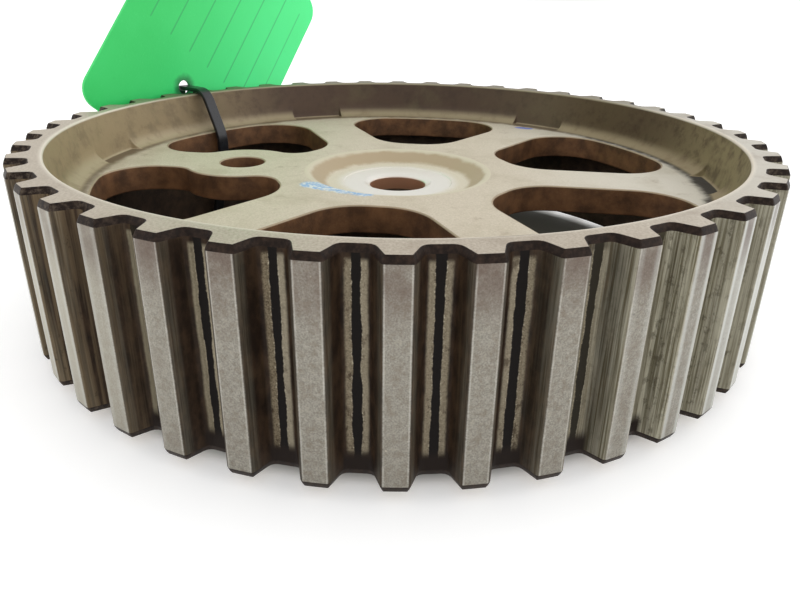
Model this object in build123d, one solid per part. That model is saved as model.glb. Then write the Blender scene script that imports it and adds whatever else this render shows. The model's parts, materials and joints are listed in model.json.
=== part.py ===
"""Timing belt pulley: a sintered steel toothed wheel with a cable tie through one window and a card tag.

The wheel's axis is +Z and its open, dished side faces up.  z = 0 is the rear face of the hub, which stands
a little proud of the rim.  Angles are in degrees from the -Y axis towards +X, and tooth 0 points to -Y.
"""
from build123d import *
from math import cos, pi, radians, sin, sqrt, tan
import os

# ---- belt and teeth ------------------------------------------------------------------------------
tooth_count = 44
belt_pitch = 9.525            # 3/8 inch
pitch_line_offset = 0.70      # the belt's pitch line runs this far outside the tooth tips
groove_depth = 3.0
tip_land = 3.48               # flat on top of a tooth, measured before its corners are rounded
flank_angle = 20.0            # lean of each flank from the tooth's centre line
tip_round = 0.55
root_round = 0.80
end_break_radial = 0.40       # chamfer that follows the tooth form at both faces
end_break_axial = 0.95

# ---- rim -----------------------------------------------------------------------------------------
rim_width = 29.9
hub_standout = 1.6            # rear face of the hub below the rear face of the rim
front_land = 2.5              # rim's front face, from the foot of the teeth in to the wall's top edge
wall_draft = 1.8              # the wall's foot stands this much further in than its top
rim_edge_break = 0.45
wall_fillet = 3.9             # concave band between the rim's wall and the web
rear_land = 3.4               # rim's rear face, from the foot of the teeth in to the rear wall
rear_fillet = 2.5

# ---- web, windows and spokes ---------------------------------------------------------------------
web_depth = 8.3               # front face of the rim down to the web
web_thickness = 4.8
window_count = 6
window_tooth = -1             # window 0 is centred on this tooth
window_to_wall = 3.6          # windows' outer edge to the wall's foot
window_to_hub = 3.75          # windows' inner edge to the hub
spoke_width = 12.1
window_outer_round = 9.5
window_inner_round = 9.4
spoke_pocket_width = 12.6     # the concave band is cut back to a square corner where a spoke meets it

# ---- hub -----------------------------------------------------------------------------------------
hub_radius = 20.0
hub_recess_radius = 17.1
hub_recess_floor_radius = 13.9
hub_recess_depth = 2.2
hub_recess_round = 0.8
washer_seat_radius = 10.6
washer_seat_depth = 0.15
bore_radius = 5.4
bore_mouth_radius = 6.5
bore_mouth_depth = 0.55
shaft_seat_radius = 11.0      # seat for the shaft's nose, cut from the rear
shaft_seat_depth = 9.0
hub_edge_break = 0.6

# ---- locating hole -------------------------------------------------------------------------------
locating_spoke = 4            # the spoke after window 4
locating_hole_radius = 4.3
locating_hole_pitch_radius = 31.4
locating_hole_break = 0.3
locating_boss_radius = 11.0
locating_boss_blend = 4.5
boss_side_round = 8.0         # outer corner of a window on the boss's side

# ---- cable tie -----------------------------------------------------------------------------------
strap_window = 4              # the window that the strap passes through
strap_width = 2.6
strap_thickness = 1.0
strap_clearance = 0.35
strap_window_gap = 1.0        # strap's outer face to the window's outer edge
strap_bend = 1.6
strap_front_bend = 4.0        # where it dives from the rim's front face into the window
strap_dive = 64.0             # angle of that dive below level
strap_window_bend = 8.0       # where it turns down through the window
tie_head_width = 4.6
tie_head_length = 5.2
tie_head_depth = 3.4
tie_head_height = 14.0        # middle of the head above the hub's rear face
tie_tail_length = 2.4

# ---- card tag ------------------------------------------------------------------------------------
tag_width = 50.4
tag_length = 63.0
tag_thickness = 0.8
tag_corner_round = 4.5
tag_hole_radius = 1.65
tag_hole_from_end = 17.2
tag_hole_off_middle = 2.7     # the hole is this far from the card's middle line
tag_phase = -124.0            # the card stands upright and square to this angle, just outside the teeth
tag_tilt = 40.0               # long edge of the card from upright, within its own plane
tag_clearance = 0.5

# ---- worked out from the sizes above -------------------------------------------------------------
tip_radius = tooth_count * belt_pitch / (2 * pi) - pitch_line_offset
root_radius = tip_radius - groove_depth
wall_top_radius = root_radius - front_land
wall_foot_radius = wall_top_radius - wall_draft
rear_wall_radius = root_radius - rear_land
window_outer_radius = wall_foot_radius - window_to_wall
window_inner_radius = hub_radius + window_to_hub
rim_bottom = hub_standout
rim_top = rim_bottom + rim_width
web_top = rim_top - web_depth
web_bottom = web_top - web_thickness
recess_floor = web_top - hub_recess_depth
seat_floor = recess_floor - washer_seat_depth
window_pitch = 360.0 / window_count
window_phase = 360.0 / tooth_count * window_tooth
strap_angle = window_phase + window_pitch * strap_window
strap_top = rim_top + strap_clearance + strap_thickness / 2
past = 1.0                    # how far a cutting solid runs past the face it opens
FROM_BELOW = (Align.CENTER, Align.CENTER, Align.MIN)


def spoke_angle(number):
    """Angle of the spoke that follows window `number`."""
    return window_phase + window_pitch * (number + 0.5)


def polar(radius, angle, z=0.0):
    """Point at a radius and an angle from -Y towards +X."""
    return Vector(radius * sin(radians(angle)), -radius * cos(radians(angle)), z)


def turned(shape, angle):
    """Shape drawn about the -Y axis, turned to an angle."""
    return Rot(0, 0, angle) * shape


def revolved(*corners, rounds=()):
    """Solid of revolution from (radius, z) corners; rounds lists (corner number, radius)."""
    profile = Polygon(*corners, align=None)
    for number, radius in rounds:
        corner = Vector(*corners[number], 0)
        vertex = min(profile.vertices(), key=lambda v: (Vector(v) - corner).length)
        profile = fillet(vertex, radius)
    return revolve(Plane.XZ * profile, Axis.Z)


# ---- teeth ---------------------------------------------------------------------------------------
def circle_on_line(start, along, radius):
    """Point of the line start + t * along that is `radius` from the axis, on the tooth's side."""
    b = start.dot(along)
    t = -b - sqrt(b * b - start.dot(start) + radius * radius)
    return start + along * t


def half_tooth(inset):
    """One side of a tooth, tip to root, as corner and mid points; the tooth's middle is the +Y axis.

    Insetting the form leaves the centres of its rounds where they are, so every inset has the same edges.
    """
    along = Vector(-sin(radians(flank_angle)), cos(radians(flank_angle)))
    inward = Vector(-cos(radians(flank_angle)), -sin(radians(flank_angle)))
    flank = Vector(tip_land / 2, tip_radius)
    flip = along * -1
    tip_centre = circle_on_line(flank + inward * tip_round, flip, tip_radius - tip_round)
    root_centre = circle_on_line(flank - inward * root_round, flip, root_radius + root_round)
    tip_r, root_r = tip_round - inset, root_round + inset
    tip_start = tip_centre.normalized() * (tip_radius - inset)
    tip_end = tip_centre - inward * tip_r
    root_start = root_centre + inward * root_r
    root_end = root_centre.normalized() * (root_radius - inset)
    tip_mid = tip_centre + ((tip_start + tip_end) * 0.5 - tip_centre).normalized() * tip_r
    root_mid = root_centre + ((root_start + root_end) * 0.5 - root_centre).normalized() * root_r
    return tip_start, tip_mid, tip_end, root_start, root_mid, root_end


def tooth_point(point, number, z, side=1):
    """Point drawn on the +Y tooth, moved to tooth `number`; side -1 mirrors it to the tooth's near flank."""
    angle = 360.0 * number / tooth_count
    return polar(point.Y, angle, z) + polar(point.X * side, angle + 90.0)


def tooth_outline(inset, z):
    """Closed wire round all the teeth, inset all round by `inset`."""
    form = half_tooth(inset)
    crown = Vector(0, tip_radius - inset)
    valley = Vector(0, root_radius - inset)
    edges = []
    for number in range(tooth_count):
        near = [tooth_point(p, number, z, -1) for p in form]
        far = [tooth_point(p, number, z) for p in form]
        after = [tooth_point(p, number + 1, z, -1) for p in form]
        edges += [
            ThreePointArc(near[0], tooth_point(crown, number, z), far[0]),
            ThreePointArc(far[0], far[1], far[2]),
            Line(far[2], far[3]),
            ThreePointArc(far[3], far[4], far[5]),
            ThreePointArc(far[5], tooth_point(valley, number + 0.5, z), after[5]),
            ThreePointArc(after[5], after[4], after[3]),
            Line(after[3], after[2]),
            ThreePointArc(after[2], after[1], after[0]),
        ]
    return Wire(edges)


def toothed_blank():
    """Solid disc with the full tooth form, broken along both faces."""
    levels = [
        (end_break_radial, rim_bottom),
        (0.0, rim_bottom + end_break_axial),
        (0.0, rim_top - end_break_axial),
        (end_break_radial, rim_top),
    ]
    return Part() + Solid.make_loft([tooth_outline(inset, z) for inset, z in levels], ruled=True)


# ---- dished front and rear -----------------------------------------------------------------------
def front_dish(with_fillet):
    """Space in front of the web, out to the rim's wall."""
    wall_slope = (wall_top_radius - wall_foot_radius) / web_depth
    rounds = [(3, wall_fillet)] if with_fillet else []
    return revolved(
        (0, rim_top + past),
        (0, web_top),
        (hub_recess_radius, web_top),
        (wall_foot_radius, web_top),
        (wall_top_radius - wall_slope * rim_edge_break, rim_top - rim_edge_break),
        (wall_top_radius + rim_edge_break, rim_top),
        (wall_top_radius + rim_edge_break, rim_top + past),
        rounds=rounds,
    )


def spoke_pockets():
    """Square corners where the six spokes meet the rim's wall."""
    inner = window_inner_radius
    length = tip_radius - inner
    bar = Box(spoke_pocket_width, length, wall_fillet + past, align=(Align.CENTER, Align.MAX, Align.MIN))
    bars = Part()
    for number in range(window_count):
        bars += turned(Pos(0, -inner, web_top) * bar, spoke_angle(number))
    return bars & front_dish(with_fillet=False)


def rear_dish():
    """Space behind the web, between the hub and the rim."""
    return revolved(
        (hub_radius, rim_bottom - past),
        (hub_radius, web_bottom),
        (rear_wall_radius, web_bottom),
        (rear_wall_radius, rim_bottom + rim_edge_break),
        (rear_wall_radius + rim_edge_break, rim_bottom),
        (rear_wall_radius + rim_edge_break, rim_bottom - past),
        rounds=[(1, rear_fillet), (2, rear_fillet)],
    )


# ---- windows -------------------------------------------------------------------------------------
def rounded_at(face, point, radius):
    """Face with the corner nearest to a point rounded."""
    return fillet(min(face.vertices(), key=lambda v: (Vector(v) - point).length), radius)


def window_face(boss_side=0):
    """Window 0: two arcs and two sides parallel to the spokes, with round corners.

    With boss_side -1 or 1 the boss of the locating hole bulges into it from the spoke on that side.
    """
    half = window_pitch / 2
    apex = polar(spoke_width / 2 / sin(radians(half)), 0)
    reach = 2 * window_outer_radius
    wedge = Polygon(apex, apex + polar(reach, -half), apex + polar(reach, half), align=None)
    face = wedge & (Circle(window_outer_radius) - Circle(window_inner_radius))
    if boss_side:
        spoke = boss_side * half
        face -= Pos(*polar(locating_hole_pitch_radius, spoke)) * Circle(locating_boss_radius)
        side_meets = polar(locating_hole_pitch_radius + locating_boss_radius, spoke)
        face = rounded_at(face, side_meets, locating_boss_blend)
        face = rounded_at(face, polar(window_inner_radius, spoke), locating_boss_blend)
        face = rounded_at(face, polar(window_inner_radius, -spoke), window_inner_round)
    else:
        for hand in (-1, 1):
            face = rounded_at(face, polar(window_inner_radius, hand * half), window_inner_round)
    for hand in (-1, 1):
        radius = boss_side_round if hand == boss_side else window_outer_round
        face = rounded_at(face, polar(window_outer_radius, hand * half), radius)
    return face


def windows():
    """All six windows as cutting solids, through the web."""
    cuts = Part()
    for number in range(window_count):
        if number == locating_spoke:
            face = window_face(boss_side=1)
        elif number == (locating_spoke + 1) % window_count:
            face = window_face(boss_side=-1)
        else:
            face = window_face()
        hole = extrude(Pos(0, 0, web_bottom) * face, web_thickness + past)
        cuts += turned(hole, window_phase + window_pitch * number)
    return cuts


# ---- wheel ---------------------------------------------------------------------------------------
def hub_cuts():
    """Recess and washer seat in front, the through bore, and the shaft seat behind."""
    front = revolved(
        (0, web_top + past),
        (0, seat_floor),
        (washer_seat_radius, seat_floor),
        (washer_seat_radius, recess_floor),
        (hub_recess_floor_radius, recess_floor),
        (hub_recess_radius, web_top),
        (hub_recess_radius, web_top + past),
        rounds=[(4, hub_recess_round), (5, hub_recess_round)],
    )
    bore = revolved(
        (0, seat_floor),
        (bore_mouth_radius, seat_floor),
        (bore_radius, seat_floor - bore_mouth_depth),
        (bore_radius, -past),
        (0, -past),
    )
    seat = Pos(0, 0, -past) * Cylinder(shaft_seat_radius, shaft_seat_depth + past, align=FROM_BELOW)
    return front + bore + seat


def locating_hole():
    middle = polar(locating_hole_pitch_radius, spoke_angle(locating_spoke))
    radius, edge = locating_hole_radius, locating_hole_break
    hole = revolved(
        (0, web_bottom - past),
        (radius, web_bottom - past),
        (radius, web_top - edge),
        (radius + edge, web_top),
        (radius + edge, web_top + past),
        (0, web_top + past),
    )
    return Pos(*middle) * hole


def pulley_wheel():
    hub = revolved((0, 0), (hub_radius - hub_edge_break, 0), (hub_radius, hub_edge_break),
                   (hub_radius, web_bottom + past), (0, web_bottom + past))
    wheel = toothed_blank() - front_dish(with_fillet=True) - spoke_pockets() - rear_dish()
    wheel = wheel + hub - hub_cuts() - locating_hole() - windows()
    return wheel.solid()


# ---- cable tie -----------------------------------------------------------------------------------
def strap_route():
    """Corners of the strap's middle line as (radius, z, bend), from the top outside, down and round."""
    low = rim_bottom - strap_clearance - strap_thickness / 2
    behind = rear_wall_radius - strap_clearance - strap_thickness
    card = tip_radius + tag_clearance + tag_thickness + strap_clearance + strap_thickness
    front = wall_top_radius + rim_edge_break - strap_front_bend * tan(radians(strap_dive / 2))
    in_window = window_outer_radius - strap_window_gap - strap_thickness / 2
    return [
        (card, strap_top, strap_bend),
        (card, low, strap_bend),
        (behind, low, strap_bend),
        (in_window, web_bottom, strap_bend),
        (in_window, strap_top - (front - in_window) * tan(radians(strap_dive)), strap_window_bend),
        (front, strap_top, strap_front_bend),
    ]


def cable_tie():
    """Strap looped round the rim, with its locking head outside the teeth."""
    line = Polygon(*[(radius, z) for radius, z, bend in strap_route()], align=None)
    for radius, z, bend in strap_route():
        line = rounded_at(line, Vector(radius, z), bend)
    ring = offset(line, strap_thickness / 2) - offset(line, -strap_thickness / 2)
    plane = Plane((0, 0, 0), x_dir=polar(1, strap_angle), z_dir=polar(-1, strap_angle + 90))
    strap = extrude(plane * ring, strap_width / 2, both=True)
    box = Box(tie_head_depth, tie_head_length, tie_head_width, align=(Align.MIN, Align.CENTER, Align.CENTER))
    box = chamfer(box.edges().filter_by(Axis.Y), 0.6)
    tail = Box(strap_thickness, tie_head_length / 2 + tie_tail_length, strap_width,
               align=(Align.MIN, Align.MIN, Align.CENTER))
    head = box + Pos(tie_head_depth * 0.45, 0) * tail
    return (strap + plane * (Pos(strap_route()[0][0], tie_head_height) * head)).solid()


# ---- card tag ------------------------------------------------------------------------------------
def tag_plane():
    """Plane in the card's mid thickness, its origin where the strap passes; X runs across the card."""
    tilt = radians(tag_tilt)
    level = polar(-1, tag_phase + 90)
    across = level * cos(tilt) - Vector(0, 0, sin(tilt))
    stand_off = tip_radius + tag_clearance + tag_thickness / 2
    radius = stand_off / cos(radians(strap_angle - tag_phase))
    return Plane(polar(radius, strap_angle, strap_top), x_dir=across, z_dir=polar(-1, tag_phase))


def card_tag():
    """Flat card with rounded corners and the hole that the strap passes through."""
    card = RectangleRounded(tag_width, tag_length, tag_corner_round)
    card = Pos(tag_hole_off_middle, tag_length / 2 - tag_hole_from_end) * card - Circle(tag_hole_radius)
    return extrude(tag_plane() * card, tag_thickness / 2, both=True).solid()


os.makedirs("parts", exist_ok=True)
export_step(pulley_wheel(), "parts/pulley_wheel.step")
export_step(cable_tie(), "parts/cable_tie.step")
export_step(card_tag(), "parts/card_tag.step")
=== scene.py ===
"""Looks for the timing belt pulley: a worn sintered steel wheel, a nylon cable tie and a card tag.

Lengths below are in millimetres and angles in degrees, unless a name says otherwise.  Angles run from the
-Y axis towards +X, and tooth 0 points to -Y.  Meshes are scaled to metres when they are made.
"""

import json
import math

import bpy
import numpy as np
from mathutils import Matrix, Vector, geometry

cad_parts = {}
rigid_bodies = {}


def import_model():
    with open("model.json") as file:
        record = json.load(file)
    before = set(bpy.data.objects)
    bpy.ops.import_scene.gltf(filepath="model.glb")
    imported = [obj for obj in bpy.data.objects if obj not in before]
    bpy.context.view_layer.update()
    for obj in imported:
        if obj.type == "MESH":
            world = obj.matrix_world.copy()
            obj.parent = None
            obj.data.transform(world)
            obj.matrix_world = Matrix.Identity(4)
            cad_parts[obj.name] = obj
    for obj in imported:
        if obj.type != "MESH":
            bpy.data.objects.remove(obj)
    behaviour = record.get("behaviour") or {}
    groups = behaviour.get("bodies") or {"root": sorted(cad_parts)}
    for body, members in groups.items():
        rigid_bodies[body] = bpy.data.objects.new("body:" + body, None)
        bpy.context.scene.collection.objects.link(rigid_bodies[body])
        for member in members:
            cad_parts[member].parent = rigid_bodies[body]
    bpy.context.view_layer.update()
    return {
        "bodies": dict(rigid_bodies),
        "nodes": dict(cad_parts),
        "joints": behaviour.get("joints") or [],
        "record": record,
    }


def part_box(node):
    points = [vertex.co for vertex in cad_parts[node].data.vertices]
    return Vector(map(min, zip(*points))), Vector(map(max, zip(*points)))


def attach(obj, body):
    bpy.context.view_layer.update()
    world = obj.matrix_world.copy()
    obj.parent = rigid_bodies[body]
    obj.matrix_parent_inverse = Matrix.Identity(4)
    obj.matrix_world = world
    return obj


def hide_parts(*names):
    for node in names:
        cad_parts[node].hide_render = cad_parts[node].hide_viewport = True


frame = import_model()

MM = 0.001
wheel_low, wheel_high = (np.array(corner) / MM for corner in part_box("pulley_wheel"))

# ---- sizes of the wheel, as in the CAD model ---------------------------------------------------------
tooth_count = 44
tip_radius = (wheel_high[1] - wheel_low[1]) / 2
rim_top = wheel_high[2]
groove_depth = 3.0
tip_land = 3.48
flank_angle = 20.0
tip_round = 0.55
root_round = 0.80
end_break_radial = 0.40
end_break_axial = 0.95
rim_width = 29.9
front_land = 2.5
wall_draft = 1.8
rim_edge_break = 0.45
wall_fillet = 3.9
rear_land = 3.4
rear_fillet = 2.5
web_depth = 8.3
web_thickness = 4.8
window_count = 6
window_to_wall = 3.6
window_to_hub = 3.75
spoke_width = 12.1
window_outer_round = 9.5
window_inner_round = 9.4
spoke_pocket_width = 12.6
hub_radius = 20.0
recess_radius = 17.1
recess_floor_radius = 13.9
recess_depth = 2.2
washer_seat_radius = 10.6
washer_seat_depth = 0.15
bore_radius = 5.4
bore_mouth_radius = 6.5
bore_mouth_depth = 0.55
shaft_seat_radius = 11.0
shaft_seat_depth = 9.0
hub_edge_break = 0.6
locating_spoke = 4
locating_hole_radius = 4.3
locating_pitch_radius = 31.4
locating_boss_radius = 11.0
locating_boss_blend = 4.5
boss_side_round = 8.0

root_radius = tip_radius - groove_depth
rim_bottom = rim_top - rim_width
wall_top_radius = root_radius - front_land
wall_foot_radius = wall_top_radius - wall_draft
rear_wall_radius = root_radius - rear_land
window_outer_radius = wall_foot_radius - window_to_wall
window_inner_radius = hub_radius + window_to_hub
web_top = rim_top - web_depth
web_bottom = web_top - web_thickness
recess_floor = web_top - recess_depth
seat_floor = recess_floor - washer_seat_depth
bore_stain_end = seat_floor - 3.0
hub_face_radius = recess_radius + 0.9         # where the web's face meets the hub's own rows
rear_face_radius = rear_wall_radius + 0.8
window_pitch = 360.0 / window_count
window_phase = -360.0 / tooth_count

# ---- sizes of the cable tie and the card tag, as in the CAD model -------------------------------------
strap_angle = window_phase + window_pitch * 4
strap_width = 2.6
strap_thickness = 1.0
strap_clearance = 0.35
strap_window_gap = 1.0
strap_bend = 1.6
strap_front_bend = 4.0
strap_dive = 64.0
strap_window_bend = 8.0
tie_head_width = 4.6
tie_head_length = 5.2
tie_head_depth = 3.4
tie_head_height = 14.0
tie_tail_length = 2.4
tag_width = 50.4
tag_length = 63.0
tag_thickness = 0.8
tag_corner_round = 4.5
tag_hole_radius = 1.65
tag_hole_from_end = 17.2
tag_hole_off_middle = 2.7
tag_phase = -124.0
tag_tilt = 40.0
tag_clearance = 0.5
strap_top = rim_top + strap_clearance + strap_thickness / 2

# ---- fineness of the wheel's mesh and its small edge rounds -------------------------------------------
edge_round = 0.14             # chamfer edges of the teeth
face_edge_round = 0.35        # inner edges of the rim's two faces
window_edge_round = 0.3
wall_columns_between = 44     # columns of the dish's wall between two spoke pockets
pocket_blend = 0.44           # width over which a pocket's side rises
rim_face_margin = 0.25        # from the ends of the grooves to the first ring of the rim's faces
web_grid = 1.9                # spacing of the points across the web
rear_columns = 264
hub_columns = 144
window_step = 0.9             # spacing of the points along a window's edge

# ---- fine shape of the tie and the card ---------------------------------------------------------------
tie_step = 0.24               # spacing of the sections along the strap
strap_round = 0.22
tie_ridge_height, tie_ridge_pitch, tie_ridge_reach = 0.10, 0.96, 1.2
tie_head_round, tie_slot_round, tie_tail_round = 0.95, 0.2, 0.2
tie_tail_place = 0.45         # share of the head's depth
tie_head_shape = ((0.0, 0.45), (0.05, 0.18), (0.13, 0.04), (0.25, 0.0), (0.5, 0.0), (0.8, 0.05), (0.94, 0.2),
                  (1.0, 0.5))         # share of the head's length, and how much narrower it is there
tie_slot_shape = ((1.3, 0.0), (1.5, 0.12), (1.55, 0.9))           # narrowing, and depth below the head's end
card_step = 1.5               # longest spacing of the points along the card's edge


def polar(radius, angle):
    """Points in the plane at a radius and an angle from -Y towards +X."""
    a = np.radians(angle)
    return np.stack(np.broadcast_arrays(radius * np.sin(a), -radius * np.cos(a)), -1)


def arc(centre, radius, start, end, count):
    """Points on a circle from one direction to another, ends included; directions in radians."""
    t = np.linspace(start, end, count)
    return np.stack([centre[0] + radius * np.cos(t), centre[1] + radius * np.sin(t)], -1)


class Surface:
    """A mesh made of rings of points and the faces between them, each face with its material slot."""

    def __init__(self):
        self.points, self.faces, self.slots = [], [], []

    def add(self, xy, z):
        first = sum(len(p) for p in self.points)
        z = np.broadcast_to(z, len(xy))
        self.points.append(np.column_stack([xy, z]))
        return np.arange(first, first + len(xy))

    def quads(self, corners, slot):
        """Quads from four matching lists of points."""
        self.faces += np.stack(corners, -1).tolist()
        self.slots += [slot] * len(corners[0])

    def rows(self, rings, slot):
        """Quads down a list of closed rings that all have the same number of points."""
        for upper, lower in zip(rings, rings[1:]):
            self.quads([upper, np.roll(upper, -1), np.roll(lower, -1), lower], slot)

    def zipper(self, outer, inner, slot):
        """Triangles between two closed rings with different numbers of points, both going round the axis."""
        points = np.concatenate(self.points)
        a, b = (np.unwrap(np.arctan2(points[ring, 0], -points[ring, 1])) for ring in (outer, inner))
        turn = 2 * math.pi
        b = b + turn * np.round((a[0] - b[0]) / turn)
        a, b = np.append(a, a[0] + turn), np.append(b, b[0] + turn)
        i = j = 0
        while i < len(outer) or j < len(inner):
            step_outer = j >= len(inner) or (i < len(outer) and a[i + 1] <= b[j + 1])
            if step_outer:
                face = [outer[i], outer[(i + 1) % len(outer)], inner[j % len(inner)]]
                i += 1
            else:
                face = [outer[i % len(outer)], inner[(j + 1) % len(inner)], inner[j]]
                j += 1
            self.triangle(face, slot)

    def triangle(self, face, slot):
        self.faces.append([int(v) for v in face])
        self.slots.append(slot)

    def mesh(self, name, materials, place=Matrix(), flow=None):
        """The finished piece.  flow is a vector for each face corner, from the first face on."""
        data = bpy.data.meshes.new(name)
        points = np.concatenate(self.points) * MM
        data.from_pydata(points.tolist(), [], self.faces)
        data.transform(place)
        for material in materials:
            data.materials.append(material)
        data.polygons.foreach_set("material_index", self.slots)
        if flow is not None:
            vectors = np.zeros((len(data.loops), 3), np.float32)
            vectors[:len(flow)] = flow
            attribute = data.attributes.new("flow", "FLOAT_VECTOR", "CORNER")
            attribute.data.foreach_set("vector", np.ravel(vectors))
        data.polygons.foreach_set("use_smooth", [True] * len(data.polygons))
        data.update()
        piece = bpy.data.objects.new(name, data)
        bpy.context.scene.collection.objects.link(piece)
        weighted = piece.modifiers.new("even_shading", "WEIGHTED_NORMAL")
        weighted.mode, weighted.weight = "FACE_AREA", 60
        return piece


# ---- teeth -------------------------------------------------------------------------------------------
CROWN, TIP, FLANK, ROOT, VALLEY = 3, 4, 3, 3, 3       # segments of half a tooth's outline
TEETH, CHAMFER, RIM_FACE, DISH, RECESS, CUT_WALL, REAR = range(7)       # material slots of the wheel


def on_line(start, along, radius):
    """Point of a line that is `radius` from the axis, on the tooth's side."""
    b = start @ along
    return start + along * (-b - math.sqrt(b * b - start @ start + radius * radius))


def half_tooth(inset):
    """Right half of a tooth pointing to +Y, from its crown to the middle of the next groove."""
    lean = math.radians(flank_angle)
    along = np.array([-math.sin(lean), math.cos(lean)])
    inward = np.array([-math.cos(lean), -math.sin(lean)])
    flank = np.array([tip_land / 2, tip_radius])
    tip_centre = on_line(flank + inward * tip_round, -along, tip_radius - tip_round)
    root_centre = on_line(flank - inward * root_round, -along, root_radius + root_round)
    tip_r, root_r = tip_round - inset, root_round + inset
    tip_from, tip_to = math.atan2(tip_centre[1], tip_centre[0]), lean
    root_from, root_to = math.pi + lean, math.atan2(-root_centre[1], -root_centre[0]) + 2 * math.pi
    half_pitch = math.pi / tooth_count
    crown = arc((0, 0), tip_radius - inset, math.pi / 2, tip_from, CROWN + 1)[:-1]
    tip = arc(tip_centre, tip_r, tip_from, tip_to, TIP + 1)
    root = arc(root_centre, root_r, root_from, root_to, ROOT + 1)
    side = np.linspace(tip[-1], root[0], FLANK + 1)[1:-1]
    root_angle = math.atan2(root_centre[1], root_centre[0])
    valley = arc((0, 0), root_radius - inset, root_angle, math.pi / 2 - half_pitch, VALLEY + 1)[1:]
    return np.concatenate([crown, tip, side, root, valley])


def tooth_outline(inset):
    """All the teeth as one closed ring of points, starting at tooth 0's crown."""
    half = half_tooth(inset)
    mirrored = half[1:-1][::-1] * (-1, 1)
    pitch = 2 * math.pi / tooth_count
    turn = np.array([[math.cos(-pitch), -math.sin(-pitch)], [math.sin(-pitch), math.cos(-pitch)]])
    period = np.concatenate([half, mirrored @ turn.T])
    points = []
    for number in range(tooth_count):
        a = math.pi + number * pitch
        spin = np.array([[math.cos(a), -math.sin(a)], [math.sin(a), math.cos(a)]])
        points.append(period * (-1, 1) @ spin.T)
    return np.concatenate(points)


def tooth_levels():
    """Rows down the teeth as (inset, z), from the front face to the rear face."""
    slope = math.atan2(end_break_radial, end_break_axial)
    top = []
    for t in np.linspace(0, 1, 4):
        top.append((end_break_radial + edge_round * (1 - t) ** 2 * 0.8, -edge_round * t * t * 0.9))
    for t in (0.35, 0.7):
        top.append((end_break_radial * (1 - t), -end_break_axial * t))
    for t in np.linspace(-1, 1, 4):
        bend = edge_round * (1 - t * t) * math.tan(slope / 2) * 0.4
        z = -end_break_axial - edge_round * t
        top.append((max(0.0, -t * edge_round * math.tan(slope)) + bend, z))
    levels = [(inset, rim_top + z) for inset, z in top]
    body = np.linspace(levels[-1][1], rim_bottom + rim_top - levels[-1][1], 20)[1:-1]
    mirrored = [(inset, rim_bottom + rim_top - z) for inset, z in reversed(levels)]
    return levels + [(0.0, z) for z in body] + mirrored, len(top)


def tooth_flow(outline):
    """Along: signed distance from the middle of the nearest groove, plus 100 for each groove passed."""
    per_tooth = len(outline) // tooth_count
    closed = np.concatenate([outline, outline[:1]])
    steps = np.linalg.norm(np.diff(closed, axis=0), axis=1)
    distance = np.concatenate([[0], np.cumsum(steps)])
    period = distance[per_tooth]
    groove = np.minimum(np.arange(len(closed) - 1) // per_tooth, tooth_count - 1)
    start = distance[:-1] - (groove + 0.5) * period
    end = start + steps
    return np.stack([start + 100 * groove, end + 100 * groove], -1)


def add_teeth(surface):
    """The toothed outside; gives its front and rear rings, and how far along and down each corner is."""
    levels, chamfer_rows = tooth_levels()
    along = tooth_flow(tooth_outline(0.0))
    rings = [surface.add(tooth_outline(inset), z) for inset, z in levels]
    flow = []
    for k, (upper, lower) in enumerate(zip(rings, rings[1:])):
        end = k < chamfer_rows - 3 or k > len(rings) - chamfer_rows
        surface.quads([upper, lower, np.roll(lower, -1), np.roll(upper, -1)], CHAMFER if end else TEETH)
        near, far = (np.full(len(along), rim_top - levels[m][1]) for m in (k, k + 1))
        corners = [(along[:, 0], near), (along[:, 0], far), (along[:, 1], far), (along[:, 1], near)]
        flow.append(np.stack([np.stack([a, depth, 0 * depth], -1) for a, depth in corners], 1).reshape(-1, 3))
    return rings[0], rings[-1], np.concatenate(flow)


def rim_face(surface, outline, z, columns_ring, front):
    """Flat face between the teeth and a ring nearer the axis."""
    points = np.concatenate(surface.points)[outline]
    angles = np.degrees(np.arctan2(points[:, 0], -points[:, 1]))
    radial = surface.add(polar(root_radius - end_break_radial - edge_round - rim_face_margin, angles), z)
    corners = [radial, np.roll(radial, -1), np.roll(outline, -1), outline]
    surface.quads(corners[::-1] if front else corners, RIM_FACE)
    start = len(surface.faces)
    surface.zipper(radial, columns_ring, RIM_FACE)
    if not front:
        surface.faces[start:] = [f[::-1] for f in surface.faces[start:]]


# ---- the dish's wall, with a pocket at each spoke -----------------------------------------------------
pocket_columns = [0.0, 1.6, 3.2, 4.6, 5.5, 5.9, 6.1, 6.2, 6.3, 6.4, 6.5, 6.7, 7.2]
pocket_offsets = sorted({s * x for x in pocket_columns for s in (-1, 1)})


def wall_angles(radius):
    """Angles of the wall's columns at a radius: parallel to each spoke near it, and even between spokes."""
    near = np.degrees(np.arcsin(np.array(pocket_offsets) / radius))
    t = np.linspace(0, 1, wall_columns_between + 2)[1:-1]
    between = near[-1] + t * (window_pitch - 2 * near[-1])
    one = np.concatenate([near, between])
    return np.concatenate([window_phase + window_pitch * (k + 0.5) + one for k in range(window_count)])


def pocket_share():
    """For each column, 1 inside a pocket and 0 outside it."""
    near = np.clip((spoke_pocket_width / 2 + pocket_blend / 2 - np.abs(pocket_offsets)) / pocket_blend, 0, 1)
    near = near * near * (3 - 2 * near)
    return np.tile(np.concatenate([near, np.zeros(wall_columns_between)]), window_count)


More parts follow.
